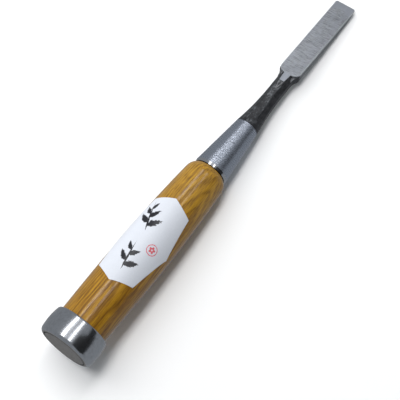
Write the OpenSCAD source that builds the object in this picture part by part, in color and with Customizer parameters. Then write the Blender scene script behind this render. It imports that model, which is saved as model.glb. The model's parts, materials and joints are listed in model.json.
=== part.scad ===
// Struck mortise chisel: a forged blade with a hard steel back, a conical
// ferrule, a turned oak handle, a pressed steel striking cap and a paper label.
// Every piece is drawn on the tool's own axis, with X running from the struck
// end to the cutting edge, and is then laid down on its belly and its blade.

/* [Striking cap] */
// Largest diameter of the barrel-shaped cap
cap_d = 30; // [28:0.5:34]
// Length of the cap over the end of the handle
cap_len = 14; // [11:0.1:18]
// Fall of the cap's crown from its middle to its ends
cap_crown = 0.75; // [0.4:0.05:1]
// Thickness of the pressed steel
cap_wall = 0.8; // [0.8:0.1:1.6]
// Radius of the bend round the struck face
cap_bend_r = 2.4; // [2:0.1:3]

/* [Handle] */
// Length of the handle between the cap and the ferrule
handle_len = 100.4; // [84:0.1:130]
// Diameter at the belly, the thickest place
belly_d = 26.4; // [25.8:0.1:27.4]
// Distance of the belly from the cap
belly_at = 41; // [30:0.1:50]
// Diameter where the handle enters the cap
grip_end_d = 25.5; // [24.5:0.1:25.6]
// Diameter at the front, where the shoulder begins to round over
shoulder_d = 22.5; // [21.5:0.1:25]
// Radius of the front shoulder
shoulder_r = 7; // [5:0.5:9]

/* [Ferrule] */
// Length of the conical ferrule
ferrule_len = 32.6; // [24:0.1:42]
// Diameter at the ferrule's wide end, in front of its bevel
ferrule_d = 18.7; // [17:0.1:20]
// Diameter at the ferrule's narrow end
ferrule_tip_d = 12.8; // [12:0.1:14]
// Wall of the ferrule
ferrule_wall = 1.7; // [1:0.1:1.8]
// Length of the polished bevel at the wide end
ferrule_bevel_len = 1.9; // [0.8:0.1:3]
// Height of that bevel
ferrule_bevel_h = 0.4; // [0.2:0.05:0.8]

/* [Neck and tang] */
// Length of the neck from the ferrule to the root of the blade
neck_len = 36.5; // [28:0.1:50]
// Diameter of the neck at its waist
neck_d = 8.7; // [7.6:0.1:9.6]
// Distance of the waist from the ferrule
neck_waist_at = 25.6; // [16:0.1:27]
// Distance across the forged flats, as a share of the neck's diameter
neck_flats_share = 0.94; // [0.93:0.01:0.98]
// Rise of the neck, in degrees, as it leaves the ferrule
neck_rise = 1.2; // [1:0.1:3]
// Length of the tang inside the wood
tang_len = 62; // [40:1:76]
// Side of the square tang at its thick end
tang_w = 6.2; // [5:0.1:6.4]
// Side of the square tang at its tip
tang_tip_w = 4; // [2.5:0.1:4.5]

/* [Blade] */
// Width of the blade and of its cutting edge
blade_w = 12; // [11:0.5:16]
// Length of the flat back, from the root to the edge
blade_len = 55.6; // [40:0.1:80]
// Thickness of the blade at its root
blade_t = 5.4; // [4.6:0.1:6.4]
// Thickness where the ground bevel begins
heel_t = 4.3; // [3.2:0.1:4.6]
// Fall of the back, in degrees, from the root to the edge
blade_fall = 2.3; // [1.4:0.1:3]
// Angle of the ground bevel
bevel_angle = 28; // [22:1:35]
// Inward lean of each side, in degrees
side_relief = 2; // [0:0.5:4]
// Radius of the two corners at the root of the flat back
root_corner_r = 3.8; // [1:0.1:3.8]
// Size of the tiny chamfer at each corner of the cutting edge
edge_corner = 0.7; // [0.2:0.1:1]
// Length of the ground tongue that runs up onto the neck
tongue_len = 5.2; // [4:0.1:8]
// Length of the forged shoulders behind the root of the flat back
shoulder_len = 2.8; // [2:0.1:5]
// Step from the flat back down to the forged shoulders
shoulder_step = 0.9; // [0.5:0.1:1.3]
// Width of the chamfer on each lower edge of the blade
arris = 0.5; // [0.2:0.1:1]

/* [Hard steel back] */
// Thickness of the hard steel layer
steel_t = 1.5; // [1.4:0.1:2.2]
// Depth of the hollow ground in the back
hollow_depth = 0.12; // [0.08:0.02:0.4]
// Width of the flat land left beside the hollow
land_side = 0.8; // [0.6:0.1:2]
// Length of the flat land left behind the edge
land_edge = 2.6; // [1:0.1:4]
// Length of the flat land left at the root
land_root = 2; // [1.5:0.1:6]

/* [Label] */
// Length of the label between its two end points
label_len = 52.2; // [36:0.1:64]
// Length of the label between its end corners
label_corner_len = 43.9; // [28:0.1:60]
// Angle round the handle from the middle to an end corner
label_corner_angle = 50; // [30:1:60]
// Angle round the handle from the middle to a side point
label_side_angle = 74; // [62:1:80]
// Distance of the label's middle from the cap
label_at = 48.5; // [38:0.1:58]
// Thickness of the paper
label_t = 0.16; // [0.1:0.01:0.3]

/* [Clearances] */
// Gap between the handle's end and the inside of the cap
cap_fit = 0.05; // [0:0.01:0.2]
// Gap between the wood and the inside of the ferrule
ferrule_fit = 0.05; // [0:0.01:0.2]
// Gap between the tang and its hole, on each side
tang_fit = 0.05; // [0:0.01:0.2]
// Gap between the paper and the wood
label_fit = 0.02; // [0:0.01:0.1]

/* [Hidden] */
$fn = 96;
// Steps in each long arc of the grip
ARC_STEPS = 12;
// Slack for cutters, so that no two faces lie in one plane
EPS = 0.01;
// Longer than the tool, and wider than any piece of it
FAR = 400;
WIDE = 60;
// Segments of a circle, enough to keep a long arc within 3 micrometres
function facets(r) = max(48, 4 * ceil(10 * sqrt(r)));
// Radius of an arc that falls by drop over a run and starts level
function arc_r(run, drop) = (run * run + drop * drop) / (2 * drop);

// Stations along the axis, from the struck face to the root of the blade
cap_end = cap_len;
belly_x = cap_end + belly_at;
ferrule_x = cap_end + handle_len;
neck_x = ferrule_x + ferrule_len;
root_x = neck_x + neck_len;

// Cap: its crown is one circle, and the two end bends touch it from inside
cap_mid = cap_len / 2;
crown_r = arc_r(cap_mid, cap_crown);
crown_c = cap_d / 2 - crown_r;
cap_lip_r = cap_wall + 0.3;
function bend_c(r) = crown_c + sqrt(pow(crown_r - r, 2) - pow(cap_mid - r, 2));
cap_mouth = grip_end_d / 2 + cap_fit;

// Handle: two long arcs meet at the belly and share its tangent
rear_r = arc_r(belly_at, (belly_d - grip_end_d) / 2);
seat_r = ferrule_d / 2 - ferrule_bevel_h;
front_drop = (belly_d - shoulder_d) / 2;
front_len = ferrule_x - belly_x;
// The shoulder's circle touches the front arc from inside and comes down to the
// ferrule at seat_r. Each pass brings the front arc's run closer to that
function front_sin(run) = run / arc_r(run, front_drop);
function shoulder_c(run) = shoulder_d / 2 - shoulder_r * cos(asin(front_sin(run)));
function shoulder_fall(run) = sqrt(pow(shoulder_r, 2) - pow(seat_r - shoulder_c(run), 2));
function next_run(run) = front_len + shoulder_r * front_sin(run) - shoulder_fall(run);
function settled(run, passes) = passes == 0 ? run : settled(next_run(run), passes - 1);
front_run = settled(front_len - shoulder_r, 12);
front_r = arc_r(front_run, front_drop);
round_x = belly_x + front_run - shoulder_r * front_sin(front_run);
round_c = shoulder_c(front_run);

// Ferrule: its bore runs parallel to its cone
cone_slope = (ferrule_d - ferrule_tip_d) / 2 / (ferrule_len - ferrule_bevel_len);
function bore_r(x) = ferrule_tip_d / 2 - ferrule_wall + (neck_x - x) * cone_slope;
tip_chamfer = 0.3;

// Spigot, tang and the nose of the handle
spigot_len = 4;
spigot_r = bore_r(neck_x) - 0.2;
nose_gap = 0.5;
nose_end = neck_x - spigot_len - nose_gap;
tang_root = neck_x - spigot_len;
tang_tip = tang_root - tang_len;
tang_tip_gap = 1;
tang_taper = (tang_w - tang_tip_w) / 2 / tang_len;
function tang_half(x) = tang_tip_w / 2 + (x - tang_tip) * tang_taper;

// Neck: its round and its flats both fall to the waist along an arc
neck_flats = neck_d * neck_flats_share;
waist_at = min(neck_waist_at, neck_len - tongue_len - 2);
flats_start_r = ferrule_tip_d / 2 + 0.05;

// The flat back meets the top of the neck at the tip of the ground tongue
tongue_z = (neck_len - tongue_len) * tan(neck_rise) + neck_flats / 2 / cos(neck_rise);
root_z = tongue_z - tongue_len * tan(blade_fall);
tongue_depth = tongue_len * (tan(neck_rise) + tan(blade_fall));
neck_facet_half = neck_flats / 2 * tan(22.5);
tongue_tip_half = neck_facet_half * 0.8;
tongue_root_half = neck_facet_half + tongue_depth - 0.05;
tongue_tip_t = 0.3;

// Underside of the blade, and the sweep that brings the neck up to it
heel_at = blade_len - heel_t / tan(bevel_angle);
under_angle = atan((blade_t - heel_t) / heel_at);
under_half = blade_w / 2 - blade_t * tan(side_relief);
sweep_r = 12;
sweep_at = 4.5;

// Shoulders: an ogee from the neck's width to the blade's
ogee_out_r = 3;
ogee_in_r = 6;
ogee_rise = neck_flats / 2 + ogee_in_r + ogee_out_r - blade_w / 2;
ogee_run = sqrt(pow(ogee_in_r + ogee_out_r, 2) - pow(ogee_rise, 2));
ogee_share = ogee_in_r / (ogee_in_r + ogee_out_r);
ogee_start = -shoulder_len;
ogee_end = ogee_start + ogee_run;
ogee_turn = [ogee_start + ogee_run * ogee_share, neck_flats / 2 + ogee_in_r - ogee_rise * ogee_share];
shoulder_slope = 0.25;

// Hollow in the back: a shallow trough with round ends
hollow_half = blade_w / 2 - land_side;
hollow_r = arc_r(hollow_half, hollow_depth);

// Rest on the floor: one straight line touches the handle and the blade's heel
function from_blade(u, w) = [root_x + u * cos(blade_fall) + w * sin(blade_fall),
    root_z - u * sin(blade_fall) + w * cos(blade_fall)];
heel = from_blade(heel_at, -heel_t);
edge = from_blade(blade_len, 0);
// Slope of the line that leaves the heel and passes under a circle at [x, z]
function slope_under(c, r) = atan2(heel[1] - c[1], heel[0] - c[0]) + asin(r / norm(heel - c));
belly_slope = slope_under([belly_x, front_r - belly_d / 2], front_r);
round_slope = slope_under([round_x, -round_c], shoulder_r);
belly_carries = front_r * sin(belly_slope) < front_run;
rest_tilt = belly_carries ? belly_slope : round_slope;
rest_lift = heel[0] * sin(rest_tilt) - heel[1] * cos(rest_tilt);
// Ends of the laid-down tool, so that the origin is under its middle
rear_end = cap_bend_r * cos(rest_tilt) - bend_c(cap_bend_r) * sin(rest_tilt) - cap_bend_r;
front_end = edge[0] * cos(rest_tilt) + edge[1] * sin(rest_tilt);
middle = (rear_end + front_end) / 2;

// Turns a drawing of radius against length into a solid round the X axis
module turned() {
    rotate([0, 90, 0]) rotate_extrude() children();
}

// Lays the tool down with its lowest line on the floor
module laid_down() {
    translate([-middle, 0, rest_lift]) rotate([0, rest_tilt, 0]) children();
}

// Neck's frame: origin at the ferrule's narrow end, X along the neck
module on_neck() {
    translate([neck_x, 0, 0]) rotate([0, -neck_rise, 0]) children();
}

// Blade's frame: origin at the root of the back, X to the edge, Z out of it
module on_blade() {
    translate([root_x, 0, root_z]) rotate([0, blade_fall, 0]) children();
}

// Underside's frame: the blade's frame, lowered and turned to its lower face
module on_underside() {
    translate([0, 0, -blade_t]) rotate([0, -under_angle, 0]) children();
}

// Side view drawn in X and Z, given a width across Y
module side_view() {
    rotate([90, 0, 0]) linear_extrude(WIDE, center = true) children();
}

// Section drawn in Y and Z, run along X
module section(from, to) {
    translate([from, 0, 0]) rotate([90, 0, 90]) linear_extrude(to - from) children();
}

// Part of a disc between two stations, for outlines of turned pieces
module disc_band(centre, r, from, to) {
    intersection() {
        translate(centre) circle(r = r, $fn = facets(r));
        translate([0, from]) square([WIDE, to - from]);
    }
}

// Outline of the cap, moved inwards by inset
module cap_outline(inset) {
    crown = crown_r - inset;
    bend_x = cap_mid - crown * (cap_mid - cap_bend_r) / (crown_r - cap_bend_r);
    lip_x = cap_mid + crown * (cap_mid - cap_lip_r) / (crown_r - cap_lip_r);
    disc_band([crown_c, cap_mid], crown, bend_x, lip_x);
    translate([bend_c(cap_bend_r), cap_bend_r]) circle(r = cap_bend_r - inset, $fn = 64);
    translate([bend_c(cap_lip_r), cap_len - cap_lip_r]) circle(r = cap_lip_r - inset, $fn = 64);
    translate([0, inset]) square([bend_c(cap_bend_r), cap_mid - inset]);
    translate([0, cap_mid]) square([bend_c(cap_lip_r), cap_mid - inset]);
}

// Points along a long arc, close enough to lie within 3 micrometres of it
function arc_points(c, middle_x, r, from, to, extra) = [for (i = [0:ARC_STEPS])
    let (x = from + (to - from) * i / ARC_STEPS) [c + sqrt(r * r - pow(x - middle_x, 2)) + extra, x]];
function grip_points(extra) = concat(
    arc_points(belly_d / 2 - rear_r, belly_x, rear_r, cap_end, belly_x, extra),
    arc_points(belly_d / 2 - front_r, belly_x, front_r, belly_x, belly_x + front_run, extra));

// Outline of the grip from the cap to the ferrule
module grip_outline() {
    polygon(concat([[0, cap_end]], grip_points(0), [[0, belly_x + front_run]]));
    disc_band([round_c, round_x], shoulder_r, belly_x + front_run, ferrule_x);
}

// Square taper of the tang, made larger by fit on every side
module square_taper(from, to, fit) {
    a = tang_half(from) + fit;
    b = tang_half(to) + fit;
    taper = [[from, -a], [to, -b], [to, b], [from, a]];
    intersection() {
        linear_extrude(WIDE, center = true) polygon(taper);
        side_view() polygon(taper);
    }
}

module striking_cap() {
    color("#9a9ca3") laid_down() turned() difference() {
        cap_outline(0);
        cap_outline(cap_wall);
        translate([0, cap_mid]) square([cap_mouth, cap_mid + EPS]);
    }
}

module handle() {
    color("#a9792f") laid_down() difference() {
        turned() {
            cap_outline(cap_wall + cap_fit);
            translate([0, cap_mid]) square([grip_end_d / 2, cap_mid + EPS]);
            grip_outline();
            nose = [[0, ferrule_x - 1], [bore_r(ferrule_x) - ferrule_fit, ferrule_x - 1],
                [bore_r(ferrule_x) - ferrule_fit, ferrule_x], [bore_r(nose_end) - ferrule_fit, nose_end],
                [0, nose_end]];
            polygon(nose);
        }
        square_taper(tang_tip - tang_tip_gap, nose_end + 1, tang_fit);
    }
}

module ferrule() {
    color("#8d929e") laid_down() turned() polygon([
        [bore_r(ferrule_x), ferrule_x],
        [seat_r, ferrule_x],
        [ferrule_d / 2, ferrule_x + ferrule_bevel_len],
        [ferrule_tip_d / 2 + tip_chamfer * cone_slope, neck_x - tip_chamfer],
        [ferrule_tip_d / 2 - tip_chamfer, neck_x],
        [bore_r(neck_x), neck_x]]);
}

// Region under an arc that falls from start_r to end_r at the waist
module falling(start_r, end_r) {
    r = arc_r(waist_at, start_r - end_r);
    difference() {
        translate([0, -1]) square([start_r, neck_len + sweep_at + 2]);
        translate([end_r + r, waist_at]) circle(r = r, $fn = facets(r));
        translate([end_r, waist_at]) square([WIDE, FAR]);
    }
}

// Two opposite flats of the neck, level with its sides
module pair_of_flats() {
    linear_extrude(WIDE, center = true) for (side = [0, 1]) {
        mirror([0, side]) rotate(-90) mirror([1, 0]) falling(flats_start_r, neck_flats / 2);
    }
}

// Neck: a turned waist cut by eight forged flats
module neck() {
    difference() {
        on_neck() intersection() {
            turned() falling(ferrule_tip_d / 2, neck_d / 2);
            pair_of_flats();
            rotate([45, 0, 0]) pair_of_flats();
            rotate([90, 0, 0]) pair_of_flats();
            rotate([135, 0, 0]) pair_of_flats();
        }
        translate([neck_x - WIDE, -WIDE / 2, -WIDE / 2]) cube([WIDE, WIDE, WIDE]);
        on_blade() translate([-tongue_len - 1, -WIDE / 2, 0]) cube([WIDE, WIDE, WIDE]);
        on_blade() on_underside() side_view() {
            translate([sweep_at, -sweep_r]) circle(r = sweep_r, $fn = 192);
            translate([sweep_at, -WIDE]) square([WIDE, WIDE]);
        }
    }
}

// Plan of the hard steel: round corners at the root, then wider than the blade
module back_plan(front) {
    flat_half = blade_w / 2 - root_corner_r;
    translate([0, -flat_half]) square([root_corner_r + 1, 2 * flat_half]);
    translate([root_corner_r, -blade_w / 2 - 1]) square([front - root_corner_r, blade_w + 2]);
    for (side = [-1, 1]) {
        translate([root_corner_r, side * flat_half]) circle(r = root_corner_r, $fn = 64);
    }
}

// Plan of the steel under the ground tongue
module tongue_plan() {
    polygon([
        [-tongue_len, -tongue_tip_half],
        [0, -tongue_root_half],
        [1, -tongue_root_half],
        [1, tongue_root_half],
        [0, tongue_root_half],
        [-tongue_len, tongue_tip_half]]);
}

// Plan of the shoulders: an ogee on each side
module shoulder_plan() {
    translate([ogee_end, -blade_w / 2]) square([root_corner_r + 2, blade_w]);
    translate([ogee_turn[0], -ogee_turn[1]]) square([ogee_end - ogee_turn[0] + 1, 2 * ogee_turn[1]]);
    for (side = [-1, 1]) {
        translate([ogee_end, side * (blade_w / 2 - ogee_out_r)]) circle(r = ogee_out_r, $fn = 64);
    }
    difference() {
        translate([ogee_start, -ogee_turn[1]]) square([ogee_turn[0] - ogee_start + EPS, 2 * ogee_turn[1]]);
        for (side = [-1, 1]) {
            translate([ogee_start, side * (neck_flats / 2 + ogee_in_r)]) circle(r = ogee_in_r, $fn = 96);
        }
    }
}

// Room inside the blade's leaning sides and over its chamfered underside
module blade_room() {
    lean = WIDE * tan(side_relief);
    top = blade_w / 2 + lean / 10;
    low = blade_w / 2 - lean / 2;
    intersection() {
        section(-WIDE / 2, blade_len + 1) polygon([
            [-top, WIDE / 10],
            [-low, -WIDE / 2],
            [low, -WIDE / 2],
            [top, WIDE / 10]]);
        on_underside() section(-WIDE / 2, blade_len + 5) polygon([
            [arris - under_half, 0],
            [under_half - arris, 0],
            [under_half - arris + WIDE, WIDE],
            [arris - under_half - WIDE, WIDE]]);
    }
}

// Soft part of the blade and its shoulders, up to the shoulders' step
module soft_blade() {
    behind = [ogee_start - 1, -shoulder_step + (ogee_start - 1) * shoulder_slope];
    step_end = blade_len - shoulder_step / tan(bevel_angle);
    intersection() {
        blade_room();
        union() {
            side_view() polygon([
                [ogee_end + 1, -shoulder_step],
                [step_end, -shoulder_step],
                [heel_at, -heel_t],
                [heel_at, -WIDE / 2],
                [ogee_end + 1, -WIDE / 2]]);
            intersection() {
                translate([0, 0, -WIDE / 2]) linear_extrude(WIDE) shoulder_plan();
                side_view() polygon([
                    behind,
                    [0, -shoulder_step],
                    [WIDE, -shoulder_step],
                    [WIDE, -WIDE / 2],
                    [behind[0], -WIDE / 2]]);
            }
        }
    }
}

// Pocket for the hard steel, open above: the back and the wedge of its tongue
module steel_pocket() {
    translate([0, 0, -steel_t]) linear_extrude(steel_t + 1) back_plan(blade_len + 1);
    intersection() {
        translate([0, 0, -WIDE / 2]) linear_extrude(WIDE) tongue_plan();
        side_view() polygon([
            [-tongue_len, 1],
            [-tongue_len, -tongue_tip_t],
            [0, -steel_t],
            [1, -steel_t],
            [1, 1]]);
    }
}

// Hard steel before its hollow is ground
module steel_blank() {
    layer_end = blade_len - steel_t / tan(bevel_angle);
    intersection() {
        blade_room();
        translate([0, 0, -WIDE / 2]) linear_extrude(WIDE) difference() {
            union() {
                back_plan(blade_len);
                tongue_plan();
            }
            for (side = [-1, 1]) {
                translate([blade_len, side * blade_w / 2])
                    rotate(45) square(edge_corner * sqrt(2), center = true);
            }
        }
        side_view() polygon([
            [-tongue_len, 0],
            [blade_len, 0],
            [layer_end, -steel_t],
            [0, -steel_t],
            [-tongue_len, -tongue_tip_t]]);
    }
}

// Cutter for the hollow in the back
module hollow() {
    from = land_root + hollow_half;
    to = blade_len - land_edge - hollow_half;
    translate([0, 0, hollow_r - hollow_depth]) {
        translate([from, 0, 0]) rotate([0, 90, 0]) cylinder(r = hollow_r, h = to - from, $fn = 256);
        translate([from, 0, 0]) sphere(r = hollow_r, $fn = 256);
        translate([to, 0, 0]) sphere(r = hollow_r, $fn = 256);
    }
}

module blade_body() {
    color("#34363a") laid_down() difference() {
        union() {
            neck();
            on_blade() soft_blade();
            translate([tang_root, 0, 0]) rotate([0, 90, 0]) cylinder(r = spigot_r, h = spigot_len + 1);
            square_taper(tang_tip, tang_root + 1, 0);
        }
        on_blade() steel_pocket();
    }
}

module cutting_steel() {
    color("#8f9198") laid_down() on_blade() difference() {
        steel_blank();
        hollow();
    }
}

module label() {
    x = cap_end + label_at;
    r = belly_d / 2 + label_fit + label_t;
    corner = [label_corner_len / 2, r * sin(label_corner_angle)];
    color("#eef1f4") laid_down() intersection() {
        turned() difference() {
            polygon(concat([[0, cap_end]], grip_points(label_fit + label_t), [[0, belly_x + front_run]]));
            polygon(concat([[0, cap_end]], grip_points(label_fit), [[0, belly_x + front_run]]));
        }
        linear_extrude(WIDE) polygon([
            [x - label_len / 2, 0],
            [x - corner[0], -corner[1]],
            [x, -r * sin(label_side_angle)],
            [x + corner[0], -corner[1]],
            [x + label_len / 2, 0],
            [x + corner[0], corner[1]],
            [x, r * sin(label_side_angle)],
            [x - corner[0], corner[1]]]);
    }
}

striking_cap();
handle();
ferrule();
blade_body();
cutting_steel();
label();
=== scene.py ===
"""Finishes for a struck mortise chisel, and the plain studio that it lies in.

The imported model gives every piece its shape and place. This script gives the
pieces their finish: a polished steel cap, a lacquered oak handle with a paper
label, a satin steel ferrule, and a blade of black forged iron that is laminated
with ground hard steel.
"""

import json
import math

import bpy
from bpy.props import FloatProperty, FloatVectorProperty, PointerProperty
from mathutils import Matrix, Vector


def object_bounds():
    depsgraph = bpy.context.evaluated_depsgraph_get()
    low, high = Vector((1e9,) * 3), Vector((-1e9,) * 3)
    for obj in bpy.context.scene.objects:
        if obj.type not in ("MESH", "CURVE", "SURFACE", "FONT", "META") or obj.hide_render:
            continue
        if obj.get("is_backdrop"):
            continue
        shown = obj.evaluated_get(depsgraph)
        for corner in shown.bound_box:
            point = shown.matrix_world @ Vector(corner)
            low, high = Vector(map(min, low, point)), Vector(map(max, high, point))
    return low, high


bl_info = {
    "name": "Mortise Chisel",
    "version": (1, 0, 0),
    "blender": (4, 5, 0),
    "location": "3D Viewport > Sidebar > Chisel",
    "description": "Finishes for a struck mortise chisel and the studio it lies in",
    "category": "Object",
}

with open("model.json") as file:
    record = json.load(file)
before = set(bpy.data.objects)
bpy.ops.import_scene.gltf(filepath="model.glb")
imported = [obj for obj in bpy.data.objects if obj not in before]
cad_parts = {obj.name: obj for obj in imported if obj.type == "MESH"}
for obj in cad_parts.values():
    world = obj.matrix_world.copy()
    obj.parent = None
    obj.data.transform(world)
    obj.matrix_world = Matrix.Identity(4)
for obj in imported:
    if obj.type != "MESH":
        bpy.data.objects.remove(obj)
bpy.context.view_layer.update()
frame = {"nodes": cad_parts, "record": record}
NODES = frame["nodes"]
MM = 0.001


# The tool's own frame: x runs from the struck face to the cutting edge, z is up
# through the blade's back, y is across, and every length is in millimetres.


def struck_face():
    """The record's mount on the end of the cap."""
    for mount in frame["record"]["mounts"]:
        if mount["name"] == "struck_face":
            return mount
    raise RuntimeError("the record has no mount named struck_face")


def tool_frame():
    """(origin, tilt): where the tool's frame starts, and its turn about Y."""
    mount = struck_face()
    out = Vector(mount["axis"])
    return Vector(mount["pos_m"]), math.atan2(out.z, -out.x)


ORIGIN, TILT = tool_frame()
TO_TOOL = Matrix.Rotation(-TILT, 3, "Y")


def reach(node):
    """(lowest, highest) corner of a CAD node in the tool's frame, in millimetres."""
    points = [TO_TOOL @ (v.co - ORIGIN) / MM for v in NODES[node].data.vertices]
    low = Vector([min(p[i] for p in points) for i in range(3)])
    high = Vector([max(p[i] for p in points) for i in range(3)])
    return low, high


def shaded(tone, amount):
    """A colour with its brightness multiplied by amount."""
    return [c * amount for c in tone]


def between(tone, other, amount):
    """A colour that goes from tone to other as amount goes from 0 to 1."""
    return [(1.0 - amount) * a + amount * b for a, b in zip(tone, other)]


# Places on the pieces, in millimetres.

TONGUE_LEN = 5.2
# Radii of the painted shade ring on the cap's struck face
CAP_SHADE_RING = (11.45, 12.2)
FERRULE_RIM = (1.7, 2.1)
# Where the painted shadow lies at the ferrule's base
FERRULE_SEAM_SHADOW = (0.3, 0.6)
STROKE_APEX = 5.4
STROKE_SLOPE = 0.22
STROKE_REACH = (5.6, 0.6)
HOLLOW_BOW = 0.1
HOLLOW_BACK = (0.3, 0.9)
HOLLOW_FRONT = (3.4, 4.4)
# Width of the painted highlight along the edges of the back
EDGE_HIGHLIGHT_BAND = (0.42, 0.12)
HEART_Y = 26.0
HEART_Z = -24.0
PALE_END = (60.0, 104.0)
BLOSSOM_AT = (-2.2, -7.2)

# Each sprig: where its stem starts, its turn, its length and its leaves.
SPRIGS = (
    ((3.6, 1.6), 0.42, 16.0, 5),
    ((-19.0, -1.4), 0.2, 14.5, 4),
)

# Small tones that go with the main colours below.

# Painted shade in the dents on the cap's struck face
DENT_SHADE_TONE = (0.1, 0.095, 0.09)
# Painted shade round the edge of the cap's struck face
RING_SHADE_TONE = (0.02, 0.02, 0.022)
PALE_END_TONE = (0.52, 0.31, 0.045)
SHEEN_TONE = (1.0, 0.86, 0.7)
RIM_TONE = (0.6, 0.6, 0.62)
# Painted shadow in the seam between the ferrule and the wood
SEAM_SHADOW_TONE = (0.02, 0.015, 0.01)
# Painted shade on the label's faces that look down
UNDERSIDE_SHADE_TONE = (0.5, 0.46, 0.38)
CARD_TONE = (0.01, 0.01, 0.01)
AIR_TONE = (0.9, 0.95, 1.0, 1.0)

# The studio, in metres.

FLOOR_HALF = 6.0
LAMP_X = 0.13
LAMP_LENGTH = 1.1
CARD_Y = -0.42
CAMERA_AT = (-0.170883, -0.178940, 0.517279)
CAMERA_RIGHT = Vector((0.590204, -0.801237, -0.098378))
CAMERA_UP = Vector((0.759824, 0.510228, 0.402909))


# Sizes and colours that a user would change.


def colour(name, description, default):
    return FloatVectorProperty(
        name=name,
        description=description,
        default=default,
        subtype="COLOR",
        size=3,
        min=0.0,
        max=1.0,
    )


def share(name, description, default):
    return FloatProperty(
        name=name,
        description=description,
        default=default,
        min=0.0,
        max=1.0,
        subtype="FACTOR",
    )


def length(name, description, default):
    return FloatProperty(
        name=name,
        description=description,
        default=default,
        min=0.0,
        unit="LENGTH",
        precision=5,
    )


class CapFinish(bpy.types.PropertyGroup):
    """Finish of the steel cap that the mallet strikes"""

    steel: colour("Steel", "Colour of the polished side", (0.545, 0.56, 0.595))
    face: colour("Struck face", "Colour of the matt end", (0.3, 0.284, 0.274))
    polish: share("Side roughness", "Roughness of the polished side", 0.19)


class OakFinish(bpy.types.PropertyGroup):
    """Finish of the turned handle"""

    pale: colour("Pale wood", "Wood between the pores", (0.43, 0.222, 0.009))
    mid: colour("Mid wood", "Middle of a year's growth", (0.3, 0.142, 0.005))
    dark: colour("Dark wood", "Start of a year's growth", (0.17, 0.068, 0.003))
    pore: colour("Pores", "Open grain", (0.06, 0.022, 0.002))
    ring: length("Ring width", "Width of one year's growth", 0.0012)
    lacquer: share("Lacquer", "Weight of the clear lacquer", 0.85)


class FerruleFinish(bpy.types.PropertyGroup):
    """Finish of the ferrule"""

    steel: colour("Steel", "Colour of the satin steel", (0.55, 0.59, 0.68))
    satin: share("Roughness", "Roughness of the satin cone", 0.24)


class IronFinish(bpy.types.PropertyGroup):
    """Finish of the forged iron"""

    scale: colour("Scale", "Black forge scale", (0.031, 0.0315, 0.0345))
    worn: colour("Worn scale", "Grey iron where the scale is thin", (0.16, 0.17, 0.182))
    ground: colour("Ground iron", "Soft iron where it is ground", (0.34, 0.345, 0.36))


class SteelFinish(bpy.types.PropertyGroup):
    """Finish of the hard steel"""

    land: colour("Lands", "Colour of the flat lands", (0.44, 0.46, 0.51))
    hollow: colour("Hollow", "Colour of the ground hollow", (0.335, 0.346, 0.37))
    # Painted highlight on the edges of the back, and the tone of the sides
    edge: colour("Edges", "Colour of the sides and the broken edges", (0.62, 0.63, 0.65))
    scratch: length("Scratch width", "Width of a grinding mark", 0.00025)


class LabelFinish(bpy.types.PropertyGroup):
    """Print and paper of the label"""

    paper: colour("Paper", "Colour of the coated paper", (0.64, 0.665, 0.72))
    ink: colour("Ink", "Colour of the brushed leaves", (0.014, 0.014, 0.018))
    seal: colour("Red", "Colour of the blossom", (0.62, 0.045, 0.07))


class StudioSettings(bpy.types.PropertyGroup):
    """Floor, lights and camera"""

    floor: colour("Floor", "Colour of the floor", (0.93, 0.93, 0.93))
    strip: FloatProperty(
        name="Lights",
        description="Power of the lights, as a share of the usual one",
        default=1.0,
        min=0.0,
    )
    air: share("Surroundings", "Brightness of the studio around the tool", 0.315)
    lens: FloatProperty(
        name="Lens",
        description="Focal length of the camera",
        default=100.66,
        min=10.0,
        unit="CAMERA",
    )


class ChiselLook(bpy.types.PropertyGroup):
    """Every finish of the chisel"""

    cap: PointerProperty(type=CapFinish)
    oak: PointerProperty(type=OakFinish)
    ferrule: PointerProperty(type=FerruleFinish)
    iron: PointerProperty(type=IronFinish)
    steel: PointerProperty(type=SteelFinish)
    label: PointerProperty(type=LabelFinish)
    studio: PointerProperty(type=StudioSettings)


# Mixing a material.


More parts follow.
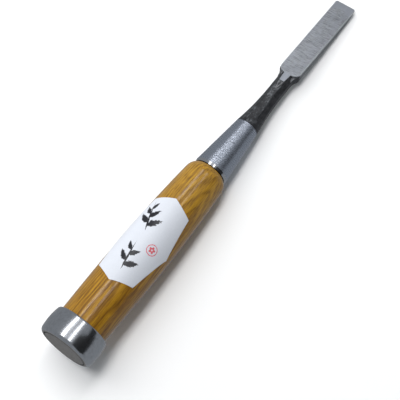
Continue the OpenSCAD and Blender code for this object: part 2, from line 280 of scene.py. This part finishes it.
class Recipe:
    """A material being mixed: short ways to add its nodes and join them."""

    def __init__(self, name):
        old = bpy.data.materials.get(name)
        if old is not None:
            bpy.data.materials.remove(old)
        self.material = bpy.data.materials.new(name)
        self.material.use_nodes = True
        self.tree = self.material.node_tree
        self.tree.nodes.clear()
        out = self.tree.nodes.new("ShaderNodeOutputMaterial")
        self.shader = self.tree.nodes.new("ShaderNodeBsdfPrincipled")
        self.tree.links.new(self.shader.outputs["BSDF"], out.inputs["Surface"])

    def put(self, socket, value):
        """Joins value to the socket if it is an output, or else sets it there."""
        if isinstance(value, bpy.types.NodeSocket):
            self.tree.links.new(value, socket)
        elif socket.type == "RGBA":
            socket.default_value = (*value, 1.0)
        else:
            socket.default_value = value

    def set(self, **values):
        """Sets the shader's sockets, named with underscores for spaces."""
        for name, value in values.items():
            self.put(self.shader.inputs[name.replace("_", " ")], value)

    def calc(self, operation, a, b=0.0):
        """One step of arithmetic on two values."""
        node = self.tree.nodes.new("ShaderNodeMath")
        node.operation = operation
        self.put(node.inputs[0], a)
        self.put(node.inputs[1], b)
        return node.outputs[0]

    def add(self, a, b):
        return self.calc("ADD", a, b)

    def times(self, a, b):
        return self.calc("MULTIPLY", a, b)

    def mix(self, amount, a, b):
        """Colour a where amount is 0, colour b where it is 1."""
        node = self.tree.nodes.new("ShaderNodeMix")
        node.data_type = "RGBA"
        self.put(node.inputs[0], amount)
        self.put(node.inputs[6], a)
        self.put(node.inputs[7], b)
        return node.outputs[2]

    def fade(self, value, start, end, low=0.0, high=1.0):
        """Goes smoothly from low to high as value goes from start to end."""
        node = self.tree.nodes.new("ShaderNodeMapRange")
        node.interpolation_type = "SMOOTHSTEP"
        self.put(node.inputs["Value"], value)
        self.put(node.inputs["From Min"], start)
        self.put(node.inputs["From Max"], end)
        self.put(node.inputs["To Min"], low)
        self.put(node.inputs["To Max"], high)
        return node.outputs["Result"]

    def band(self, value, start, end, soft):
        """1 between start and end, with soft sides, and 0 elsewhere."""
        return self.times(
            self.fade(value, start - soft, start + soft),
            self.fade(value, end + soft, end - soft),
        )

    def place(self):
        """The point in the tool's frame, in millimetres, and its x, y and z."""
        where = self.tree.nodes.new("ShaderNodeTexCoord").outputs["Object"]
        node = self.tree.nodes.new("ShaderNodeMapping")
        node.vector_type = "TEXTURE"
        self.put(node.inputs["Vector"], where)
        node.inputs["Location"].default_value = ORIGIN
        node.inputs["Rotation"].default_value = (0.0, TILT, 0.0)
        node.inputs["Scale"].default_value = (MM, MM, MM)
        point = node.outputs["Vector"]
        return point, *self.parts(point)

    def facing(self):
        """The true normal in the tool's frame: its x, y and z."""
        node = self.tree.nodes.new("ShaderNodeNewGeometry")
        turn = self.tree.nodes.new("ShaderNodeMapping")
        turn.vector_type = "NORMAL"
        turn.inputs["Rotation"].default_value = (0.0, -TILT, 0.0)
        self.put(turn.inputs["Vector"], node.outputs["True Normal"])
        return self.parts(turn.outputs["Vector"])

    def parts(self, vector):
        """The x, y and z of a vector."""
        node = self.tree.nodes.new("ShaderNodeSeparateXYZ")
        self.put(node.inputs[0], vector)
        return node.outputs[0], node.outputs[1], node.outputs[2]

    def join(self, x, y, z):
        """A vector from its x, y and z."""
        node = self.tree.nodes.new("ShaderNodeCombineXYZ")
        for socket, value in zip(node.inputs, (x, y, z)):
            self.put(socket, value)
        return node.outputs[0]

    def stretch(self, point, x, y, z):
        """The point scaled for a texture, so a bigger number is a finer pattern."""
        node = self.tree.nodes.new("ShaderNodeMapping")
        self.put(node.inputs["Vector"], point)
        node.inputs["Scale"].default_value = (x, y, z)
        return node.outputs["Vector"]

    def cloud(self, point, scale=1.0, detail=3.0, rough=0.5, twist=0.0):
        """Soft random values about 0.5."""
        node = self.tree.nodes.new("ShaderNodeTexNoise")
        node.noise_dimensions = "3D"
        self.put(node.inputs["Vector"], point)
        node.inputs["Scale"].default_value = scale
        node.inputs["Detail"].default_value = detail
        node.inputs["Roughness"].default_value = rough
        node.inputs["Distortion"].default_value = twist
        return node.outputs["Fac"]

    def cells(self, point):
        """Distance to the nearest of many random points."""
        node = self.tree.nodes.new("ShaderNodeTexVoronoi")
        self.put(node.inputs["Vector"], point)
        node.inputs["Scale"].default_value = 1.0
        return node.outputs["Distance"]

    def tints(self, value, stops):
        """Colour by value, from stops of (value, colour)."""
        node = self.tree.nodes.new("ShaderNodeValToRGB")
        ramp = node.color_ramp
        while len(ramp.elements) < len(stops):
            ramp.elements.new(0.5)
        for element, (at, shade) in zip(ramp.elements, stops):
            element.position = at
            element.color = (*shade, 1.0)
        self.put(node.inputs["Fac"], value)
        return node.outputs["Color"]

    def relief(self, height, depth, strength=1.0, under=None):
        """A normal that is dented by height, whose full range is depth millimetres."""
        node = self.tree.nodes.new("ShaderNodeBump")
        self.put(node.inputs["Strength"], strength)
        node.inputs["Distance"].default_value = depth * MM
        self.put(node.inputs["Height"], height)
        if under is not None:
            self.put(node.inputs["Normal"], under)
        return node.outputs["Normal"]


def dress(node, recipe):
    """Gives a CAD node the mixed material in every one of its slots."""
    piece = NODES[node]
    piece.data.materials.clear()
    piece.data.materials.append(recipe.material)


# One operator for each piece.


class CHISEL_OT_cap(bpy.types.Operator):
    """Polish the striking cap, and leave its struck face matt"""

    bl_idname = "chisel.cap"
    bl_label = "Striking Cap"
    bl_options = {"REGISTER", "UNDO"}

    def execute(self, context):
        look = context.scene.chisel_look.cap
        mix = Recipe("cap_steel")
        point, _, y, z = mix.place()
        radius = mix.calc("SQRT", mix.add(mix.times(y, y), mix.times(z, z)))
        end = mix.fade(mix.facing()[0], -0.9, -0.985)
        fine = mix.cloud(mix.stretch(point, 0.6, 0.6, 0.6), 1.0, 4.0, 0.6)
        turned = mix.cloud(mix.stretch(point, 9.0, 0.25, 0.25), 1.0, 2.0, 0.6)
        side = mix.mix(mix.fade(fine, 0.35, 0.75), look.steel, shaded(look.steel, 0.86))
        matt = mix.mix(mix.fade(fine, 0.3, 0.7), look.face, shaded(look.face, 0.8))
        # Painted shade: a dark ring round the edge of the struck face, where it turns into the
        # rounded rim
        ring = mix.times(mix.band(radius, *CAP_SHADE_RING, 0.12), end)
        # Painted shade: a few dents that the hammer left are darkened in colour, with no dent in
        # the shape
        dent_shade = mix.fade(mix.cells(mix.stretch(point, 0.2, 0.2, 0.2)), 0.2, 0.08)
        matt = mix.mix(mix.times(dent_shade, 0.6), matt, DENT_SHADE_TONE)
        shade = mix.mix(end, side, matt)
        shade = mix.mix(ring, shade, RING_SHADE_TONE)
        mix.set(
            Base_Color=shade,
            Metallic=mix.fade(end, 0.0, 1.0, 1.0, 0.55),
            Roughness=mix.add(
                mix.fade(end, 0.0, 1.0, look.polish, 0.55),
                mix.times(mix.fade(fine, 0.4, 0.8), 0.06),
            ),
            Normal=mix.relief(turned, 0.01, 0.5, mix.relief(fine, 0.05, 0.35)),
        )
        dress("striking_cap", mix)
        return {"FINISHED"}


class CHISEL_OT_handle(bpy.types.Operator):
    """Give the handle its oak grain and its clear lacquer"""

    bl_idname = "chisel.handle"
    bl_label = "Oak Handle"
    bl_options = {"REGISTER", "UNDO"}

    def execute(self, context):
        look = context.scene.chisel_look.oak
        mix = Recipe("oak")
        point, x, y, z = mix.place()
        sway = mix.cloud(mix.stretch(point, 0.016, 0.06, 0.06), 1.0, 2.0, 0.5)
        ripple = mix.cloud(mix.stretch(point, 0.04, 0.3, 0.3), 1.0, 3.0, 0.55)
        ragged = mix.cloud(mix.stretch(point, 0.15, 1.6, 1.6), 1.0, 3.0, 0.6)
        across = mix.add(y, mix.times(x, 0.03))
        # Years of growth lie round the heart of the tree
        off_y = mix.calc("SUBTRACT", across, HEART_Y)
        off_z = mix.calc("SUBTRACT", z, HEART_Z)
        far = mix.calc("SQRT", mix.add(mix.times(off_y, off_y), mix.times(off_z, off_z)))
        far = mix.add(far, mix.times(sway, 5.0))
        far = mix.add(far, mix.times(ripple, 1.2))
        far = mix.add(far, mix.times(ragged, 1.1))
        year = mix.calc("FRACT", mix.calc("DIVIDE", far, look.ring / MM))
        first = between(look.dark, look.mid, 0.35)
        late = between(look.mid, look.pale, 0.5)
        stops = [(0.0, first), (0.22, look.mid), (0.45, look.pale), (0.75, late), (1.0, first)]
        growth = mix.tints(year, stops)
        fibre = mix.cloud(mix.stretch(point, 0.05, 1.5, 1.5), 1.0, 5.0, 0.75)
        streak = mix.cloud(mix.stretch(point, 0.02, 0.9, 0.9), 1.0, 3.0, 0.65)
        pores = mix.cloud(mix.stretch(point, 0.1, 2.2, 2.2), 1.0, 3.0, 0.65)
        early = mix.fade(mix.calc("ABSOLUTE", mix.calc("SUBTRACT", year, 0.5)), 0.15, 0.5)
        open_grain = mix.fade(mix.add(pores, mix.times(early, 0.1)), 0.55, 0.66)
        shade = mix.mix(mix.fade(streak, 0.5, 0.7, 0.0, 0.55), growth, look.dark)
        shade = mix.mix(mix.fade(fibre, 0.52, 0.72, 0.0, 0.75), shade, look.pale)
        fine = mix.cloud(mix.stretch(point, 0.03, 1.5, 1.5), 1.0, 4.0, 0.8)
        shade = mix.mix(mix.fade(fine, 0.47, 0.58, 0.0, 0.65), shade, look.dark)
        # The wood is paler towards the ferrule
        shade = mix.mix(mix.fade(x, *PALE_END, 0.0, 0.25), shade, PALE_END_TONE)
        shade = mix.mix(mix.times(open_grain, 0.45), shade, look.pore)
        mix.set(
            Base_Color=shade,
            Roughness=mix.fade(fibre, 0.3, 0.8, 0.45, 0.6),
            Specular_IOR_Level=0.22,
            Coat_Weight=look.lacquer,
            Coat_Roughness=0.13,
            Coat_IOR=1.45,
            Sheen_Weight=0.04,
            Sheen_Roughness=0.35,
            Sheen_Tint=SHEEN_TONE,
            Normal=mix.relief(mix.calc("SUBTRACT", fibre, mix.times(open_grain, 0.6)), 0.05, 0.6),
        )
        wavy = mix.cloud(mix.stretch(point, 0.09, 1.1, 1.1), 1.0, 3.0, 0.6)
        mix.put(mix.shader.inputs["Coat Normal"], mix.relief(wavy, 0.05, 0.7))
        dress("handle", mix)
        return {"FINISHED"}


class CHISEL_OT_ferrule(bpy.types.Operator):
    """Give the ferrule its satin cone and its polished rim"""

    bl_idname = "chisel.ferrule"
    bl_label = "Ferrule"
    bl_options = {"REGISTER", "UNDO"}

    def execute(self, context):
        look = context.scene.chisel_look.ferrule
        base = reach("ferrule")[0].x
        mix = Recipe("ferrule_steel")
        point, x, _, _ = mix.place()
        grit = mix.cloud(mix.stretch(point, 2.1, 2.1, 2.1), 1.0, 3.0, 0.75)
        broad = mix.cloud(mix.stretch(point, 0.15, 0.3, 0.3), 1.0, 3.0, 0.5)
        rim = mix.fade(x, base + FERRULE_RIM[1], base + FERRULE_RIM[0])
        shade = mix.mix(mix.fade(grit, 0.4, 0.6), look.steel, shaded(look.steel, 0.8))
        shade = mix.mix(mix.fade(broad, 0.3, 0.7), shade, shaded(look.steel, 0.92))
        shade = mix.mix(rim, shade, RIM_TONE)
        # Painted shadow: a dark band on the steel where it meets the wood, for the shade in the
        # gap between them
        seam_shadow = mix.fade(x, base + FERRULE_SEAM_SHADOW[1], base + FERRULE_SEAM_SHADOW[0])
        shade = mix.mix(seam_shadow, shade, SEAM_SHADOW_TONE)
        mix.set(
            Base_Color=shade,
            Metallic=1.0,
            Roughness=mix.add(
                mix.fade(rim, 0.0, 1.0, look.satin, 0.1),
                mix.fade(grit, 0.4, 0.6, 0.0, 0.08),
            ),
            Normal=mix.relief(grit, 0.17, mix.fade(rim, 0.0, 1.0, 0.6, 0.03)),
        )
        dress("ferrule", mix)
        return {"FINISHED"}


class CHISEL_OT_blade_body(bpy.types.Operator):
    """Leave the forged iron black, and grind its sides and bevel"""

    bl_idname = "chisel.blade_body"
    bl_label = "Blade Body"
    bl_options = {"REGISTER", "UNDO"}

    def execute(self, context):
        look = context.scene.chisel_look.iron
        mix = Recipe("forged_iron")
        point, x, y, _ = mix.place()
        tip = reach("cutting_steel")[0].x
        root = tip + TONGUE_LEN
        rough = mix.cloud(point, 0.55, 5.0, 0.65)
        pits = mix.cloud(point, 1.9, 3.0, 0.6)
        thin = mix.cloud(mix.stretch(point, 0.3, 0.5, 0.5), 1.0, 4.0, 0.75, 0.6)
        nx, _, nz = mix.facing()
        # Scale is worn grey in random patches, and more on the faces that look up: that part is a
        # painted highlight
        top = mix.fade(nz, 0.75, 0.98)
        worn_and_highlight = mix.times(mix.fade(thin, 0.47, 0.66), mix.fade(top, 0.0, 1.0, 0.25, 0.85))
        shade = mix.mix(mix.fade(rough, 0.35, 0.7), look.scale, shaded(look.scale, 1.9))
        shade = mix.mix(worn_and_highlight, shade, look.worn)
        # Two file strokes meet behind the tip of the tongue
        spread = mix.times(mix.add(x, STROKE_APEX - tip), STROKE_SLOPE)
        stroke = mix.calc("SUBTRACT", mix.calc("ABSOLUTE", y), spread)
        stroke = mix.calc("ABSOLUTE", mix.calc("SUBTRACT", stroke, 0.1))
        length_wise = mix.band(x, tip - STROKE_REACH[0], tip - STROKE_REACH[1], 0.6)
        cut = mix.times(mix.fade(stroke, 0.34, 0.08), length_wise)
        cut = mix.times(mix.times(cut, top), mix.fade(pits, 0.35, 0.6, 0.3, 1.0))
        shade = mix.mix(mix.times(cut, 0.55), shade, look.ground)
        # Blade: ground sides, underside and bevel, with the marks across the tool
        marks = mix.cloud(mix.stretch(point, 5.0, 0.5, 0.5), 1.0, 3.0, 0.7)
        ground = mix.fade(x, root + 1.5, root + 4.5)
        ground = mix.times(ground, mix.fade(mix.add(rough, mix.times(ground, 0.3)), 0.4, 0.55))
        bright = mix.mix(mix.fade(marks, 0.3, 0.7), look.ground, shaded(look.ground, 0.72))
        bevel = mix.times(mix.fade(nx, 0.2, 0.35), mix.fade(x, root + 20.0, root + 30.0))
        shade = mix.mix(ground, shade, bright)
        shade = mix.mix(mix.times(bevel, 0.5), shade, shaded(look.ground, 1.3))
        height = mix.add(mix.times(rough, 0.7), mix.times(pits, 0.3))
        mix.set(
            Base_Color=shade,
            Metallic=mix.fade(ground, 0.0, 1.0, 0.55, 0.9),
            Roughness=mix.add(mix.fade(pits, 0.3, 0.7, 0.3, 0.5), mix.times(ground, 0.05)),
            Normal=mix.relief(
                marks, 0.02, 0.4, mix.relief(height, 0.3, mix.fade(ground, 0.0, 1.0, 0.7, 0.1))
            ),
        )
        dress("blade_body", mix)
        return {"FINISHED"}


class CHISEL_OT_cutting_steel(bpy.types.Operator):
    """Grind the hard steel: flat lands round a hollow back"""

    bl_idname = "chisel.cutting_steel"
    bl_label = "Cutting Steel"
    bl_options = {"REGISTER", "UNDO"}

    def execute(self, context):
        look = context.scene.chisel_look.steel
        mix = Recipe("hard_steel")
        point, x, y, z = mix.place()
        low, high = reach("cutting_steel")
        root = low.x + TONGUE_LEN
        nz = mix.facing()[2]
        drift = mix.cloud(mix.stretch(point, 0.25, 0.5, 0.5), 1.0, 2.0, 0.5)
        skew = mix.add(x, mix.times(y, 0.06))
        lay = mix.join(skew, y, z)
        coarse = mix.cloud(mix.stretch(lay, 2.3, 0.2, 0.2), 1.0, 3.0, 0.75)
        fine = mix.cloud(mix.stretch(lay, MM / look.scratch, 0.35, 0.35), 1.0, 3.0, 0.8)
        along = mix.cloud(mix.stretch(point, 0.12, 3.0, 3.0), 1.0, 3.0, 0.7)
        # The wheel leaves its marks on the hollow, whose two ends are bowed
        bowed = mix.add(x, mix.times(mix.times(y, y), HOLLOW_BOW))
        start = mix.fade(bowed, root + HOLLOW_BACK[0], root + HOLLOW_BACK[1])
        stop = mix.fade(bowed, high.x - HOLLOW_FRONT[0], high.x - HOLLOW_FRONT[1])
        wheel = mix.times(start, stop)
        marks = mix.add(mix.times(coarse, 0.6), mix.times(fine, 0.4))
        groove = shaded(look.hollow, 0.78)
        crest = shaded(look.hollow, 1.55)
        worn = mix.mix(mix.fade(marks, 0.4, 0.6), groove, crest)
        worn = mix.mix(mix.fade(drift, 0.4, 0.65, 0.0, 0.5), worn, look.land)
        flat = mix.mix(mix.fade(along, 0.3, 0.7), look.land, shaded(look.land, 0.9))
        shade = mix.mix(wheel, flat, worn)
        # Painted highlight: a bright band along both long edges of the back, for the glint that a
        # broken edge would catch; the sides take the same bright tone
        half = (high.y - low.y) / 2
        rim = mix.fade(mix.calc("ABSOLUTE", y), half - EDGE_HIGHLIGHT_BAND[0], half - EDGE_HIGHLIGHT_BAND[1])
        rim = mix.times(rim, mix.fade(x, root + 1.0, root + 3.0))
        side = mix.fade(nz, 0.7, 0.4)
        shade = mix.mix(mix.calc("MAXIMUM", mix.times(rim, 0.9), side), shade, look.edge)
        mix.set(
            Base_Color=shade,
            Metallic=1.0,
            Roughness=mix.add(mix.fade(marks, 0.3, 0.7, 0.36, 0.46), mix.times(wheel, -0.03)),
            Normal=mix.relief(mix.times(marks, wheel), 0.08, 0.6, mix.relief(along, 0.012, 0.4)),
        )
        dress("cutting_steel", mix)
        return {"FINISHED"}


class CHISEL_OT_label(bpy.types.Operator):
    """Print the paper label with brushed leaves and one red blossom"""

    bl_idname = "chisel.label"
    bl_label = "Label"
    bl_options = {"REGISTER", "UNDO"}

    def execute(self, context):
        look = context.scene.chisel_look.label
        low, high = reach("label")
        mix = Recipe("label_paper")
        point, x, y, z = mix.place()
        # The sheet laid flat: u runs along the tool and v across it
        u = mix.calc("SUBTRACT", x, (low.x + high.x) / 2)
        v = mix.times(mix.calc("ARCTAN2", y, z), high.z)
        sheet = mix.join(u, v, 0.0)
        fibres = mix.cloud(mix.stretch(point, 1.5, 1.5, 1.5), 1.0, 4.0, 0.6)
        brush = mix.cloud(mix.stretch(sheet, 1.0, 1.0, 1.0), 1.0, 2.0, 0.6)
        bristle = mix.cloud(mix.stretch(sheet, 2.2, 2.2, 1.0), 1.0, 4.0, 0.8)
        ink = 0.0
        for sprig in SPRIGS:
            ink = mix.calc("MAXIMUM", ink, self.sprig(mix, sheet, brush, *sprig))
        ink = mix.times(ink, mix.fade(bristle, 0.28, 0.36, 0.75, 1.0))
        red = self.blossom(mix, u, v, BLOSSOM_AT, brush)
        shade = mix.mix(mix.fade(fibres, 0.3, 0.7), look.paper, shaded(look.paper, 0.965))
        shade = mix.mix(mix.times(red, 0.9), shade, look.seal)
        shade = mix.mix(ink, shade, look.ink)
        # Painted shade: every face that looks down, the cut edges among them, is darkened towards
        # a dull yellow grey
        rim = mix.fade(mix.facing()[2], 0.0, -0.6)
        shade = mix.mix(mix.times(rim, 0.3), shade, UNDERSIDE_SHADE_TONE)
        mix.set(
            Base_Color=shade,
            Roughness=mix.fade(ink, 0.0, 1.0, 0.42, 0.34),
            Normal=mix.relief(mix.add(fibres, mix.times(ink, 0.2)), 0.02, 0.35),
        )
        dress("label", mix)
        return {"FINISHED"}

    def stroke(self, mix, sheet, brush, start, turn, long, wide):
        """One brushed leaf: pointed at both ends, fullest near its start."""
        node = mix.tree.nodes.new("ShaderNodeMapping")
        node.vector_type = "TEXTURE"
        mix.put(node.inputs["Vector"], sheet)
        node.inputs["Location"].default_value = (*start, 0.0)
        node.inputs["Rotation"].default_value = (0.0, 0.0, turn)
        node.inputs["Scale"].default_value = (long, wide / 2, 1.0)
        along, across, _ = mix.parts(node.outputs["Vector"])
        along = mix.calc("MINIMUM", along, 1.2)
        # A slight bow, as a wrist draws it
        across = mix.add(across, mix.times(mix.times(along, along), 0.9))
        across = mix.add(across, mix.fade(brush, 0.2, 0.8, -0.55, 0.1))
        rest = mix.calc("SUBTRACT", 1.0, along)
        full = mix.times(mix.times(along, rest), mix.add(mix.times(rest, 4.0), 2.0))
        gap = mix.calc("SUBTRACT", mix.calc("ABSOLUTE", across), full)
        return mix.fade(gap, 0.12, -0.12)

    def sprig(self, mix, sheet, brush, start, turn, long, leaves):
        """A stem with leaves that leave it on alternate sides and shorten to its tip."""
        ink = self.stroke(mix, sheet, brush, start, turn, long * 1.12, 0.85)
        for leaf in range(leaves):
            at = (0.16 + 0.8 * leaf / leaves) * long
            side = 1.0 if leaf % 2 else -1.0
            spot = (start[0] + at * math.cos(turn), start[1] + at * math.sin(turn))
            lean = turn + side * (0.95 - 0.1 * leaf)
            size = long * (0.52 - 0.05 * leaf)
            mark = self.stroke(mix, sheet, brush, spot, lean, size, size * 0.38)
            ink = mix.calc("MAXIMUM", ink, mark)
        return ink

    def blossom(self, mix, u, v, centre, brush):
        """Five petals inside a thin ring."""
        du = mix.calc("SUBTRACT", u, centre[0])
        dv = mix.calc("SUBTRACT", v, centre[1])
        far = mix.calc("SQRT", mix.add(mix.times(du, du), mix.times(dv, dv)))
        wave = mix.calc("COSINE", mix.times(mix.calc("ARCTAN2", dv, du), 2.5))
        edge = mix.add(mix.times(mix.calc("ABSOLUTE", wave), 0.85), 0.95)
        petals = mix.fade(mix.calc("SUBTRACT", far, edge), 0.12, -0.12)
        petals = mix.times(petals, mix.fade(far, 0.35, 0.55))
        ring = mix.band(mix.add(far, mix.fade(brush, 0.3, 0.7, -0.1, 0.1)), 2.5, 2.9, 0.1)
        return mix.calc("MAXIMUM", petals, ring)


class CHISEL_OT_studio(bpy.types.Operator):
    """Set the floor, the lights and the camera"""

    bl_idname = "chisel.studio"
    bl_label = "Studio"
    bl_options = {"REGISTER", "UNDO"}

    def execute(self, context):
        look = context.scene.chisel_look.studio
        self.lay_floor(look)
        self.hang_lights(context, look)
        self.aim_camera(context, look)
        context.scene.view_settings.view_transform = "Standard"
        return {"FINISHED"}

    def lay_floor(self, look):
        mesh = bpy.data.meshes.new("floor")
        signs = ((-1, -1), (1, -1), (1, 1), (-1, 1))
        corners = [(x * FLOOR_HALF, y * FLOOR_HALF, 0) for x, y in signs]
        mesh.from_pydata(corners, [], [(0, 1, 2, 3)])
        floor = bpy.data.objects.new("floor", mesh)
        bpy.context.scene.collection.objects.link(floor)
        floor.location.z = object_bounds()[0][2]
        mix = Recipe("floor_paper")
        where = mix.tree.nodes.new("ShaderNodeTexCoord").outputs["Object"]
        tooth = mix.cloud(where, 900.0, 2.0)
        mix.set(
            Base_Color=look.floor,
            Roughness=0.9,
            Specular_IOR_Level=0.2,
            Normal=mix.relief(tooth, 0.02, 0.2),
        )
        mesh.materials.append(mix.material)
        floor.visible_glossy = False
        floor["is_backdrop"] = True

    def hang_lights(self, context, look):
        # Long strips that the metal and the lacquer mirror
        self.hang(context, look, "strip_far", 75.6, 0.175, 3.0, mirrored=True)
        self.hang(context, look, "veil", 91.0, 0.3, 0.3, mirrored=True)
        self.hang(context, look, "strip_near", 105.4, 0.13, 1.7, mirrored=True)
        # Wide soft boxes that light the rest
        self.hang(context, look, "key", 86.0, 0.28, 7.1, mirrored=False)
        self.hang(context, look, "fill", 56.0, 0.7, 4.9, mirrored=False)
        self.hang(context, look, "low", 15.0, 0.5, 2.7, mirrored=False)
        self.black_card(context, "cap_card", (-0.6, 0.02), (0.08, 0.72))
        card = self.black_card(context, "ferrule_card", (0.08, 0.06), (0.6, 0.28))
        card.visible_diffuse = False
        air = bpy.data.worlds.new("studio_air")
        air.use_nodes = True
        back = air.node_tree.nodes["Background"]
        back.inputs["Color"].default_value = AIR_TONE
        back.inputs["Strength"].default_value = look.air
        context.scene.world = air

    def hang(self, context, look, name, angle, width, power, mirrored):
        """Hangs a long lamp 1 m from the tool, at an angle in degrees above +Y."""
        lamp = bpy.data.lights.new(name, "AREA")
        lamp.shape = "RECTANGLE"
        lamp.size = LAMP_LENGTH
        lamp.size_y = width
        lamp.energy = power * look.strip
        light = bpy.data.objects.new(name, lamp)
        turn = math.radians(angle)
        light.location = (LAMP_X, math.cos(turn), math.sin(turn))
        light.rotation_euler = (turn - math.pi / 2, 0.0, 0.0)
        light.visible_glossy = mirrored
        light.visible_diffuse = not mirrored
        context.scene.collection.objects.link(light)

    def black_card(self, context, name, low, high):
        """Stands a black card that casts no shadow, from corner low (x, z) to corner high."""
        card = bpy.data.meshes.new(name)
        corners = [(low[0], low[1]), (high[0], low[1]), (high[0], high[1]), (low[0], high[1])]
        card.from_pydata([(x, CARD_Y, z) for x, z in corners], [], [(0, 1, 2, 3)])
        board = bpy.data.objects.new(name, card)
        context.scene.collection.objects.link(board)
        board.visible_camera = False
        board.visible_shadow = False
        mix = Recipe(name)
        mix.set(Base_Color=CARD_TONE, Roughness=0.9)
        card.materials.append(mix.material)
        board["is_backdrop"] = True
        return board

    def aim_camera(self, context, look):
        lens = bpy.data.cameras.new("camera")
        lens.lens = look.lens
        lens.sensor_width = 36.0
        lens.sensor_fit = "HORIZONTAL"
        lens.clip_start = 0.01
        camera = bpy.data.objects.new("camera", lens)
        back = CAMERA_RIGHT.cross(CAMERA_UP)
        turn = Matrix((CAMERA_RIGHT, CAMERA_UP, back)).transposed().to_4x4()
        camera.matrix_world = Matrix.Translation(CAMERA_AT) @ turn
        context.scene.collection.objects.link(camera)
        context.scene.camera = camera


OPERATORS = (
    CHISEL_OT_cap,
    CHISEL_OT_handle,
    CHISEL_OT_ferrule,
    CHISEL_OT_blade_body,
    CHISEL_OT_cutting_steel,
    CHISEL_OT_label,
    CHISEL_OT_studio,
)


class CHISEL_PT_panel(bpy.types.Panel):
    """The chisel's pieces, in the order that they are finished"""

    bl_idname = "CHISEL_PT_panel"
    bl_label = "Mortise Chisel"
    bl_space_type = "VIEW_3D"
    bl_region_type = "UI"
    bl_category = "Chisel"

    def draw(self, context):
        look = context.scene.chisel_look
        groups = (look.cap, look.oak, look.ferrule, look.iron, look.steel, look.label)
        for step, group in zip(OPERATORS, groups + (look.studio,)):
            box = self.layout.box()
            box.operator(step.bl_idname)
            for name in group.__annotations__:
                box.prop(group, name)


CLASSES = (
    CapFinish,
    OakFinish,
    FerruleFinish,
    IronFinish,
    SteelFinish,
    LabelFinish,
    StudioSettings,
    ChiselLook,
    *OPERATORS,
    CHISEL_PT_panel,
)


def register():
    for cls in CLASSES:
        bpy.utils.register_class(cls)
    bpy.types.Scene.chisel_look = PointerProperty(type=ChiselLook)


def unregister():
    del bpy.types.Scene.chisel_look
    for cls in reversed(CLASSES):
        bpy.utils.unregister_class(cls)


def main():
    register()
    bpy.ops.chisel.studio()
    bpy.ops.chisel.cap()
    bpy.ops.chisel.handle()
    bpy.ops.chisel.ferrule()
    bpy.ops.chisel.blade_body()
    bpy.ops.chisel.cutting_steel()
    bpy.ops.chisel.label()


if __name__ == "__main__":
    main()
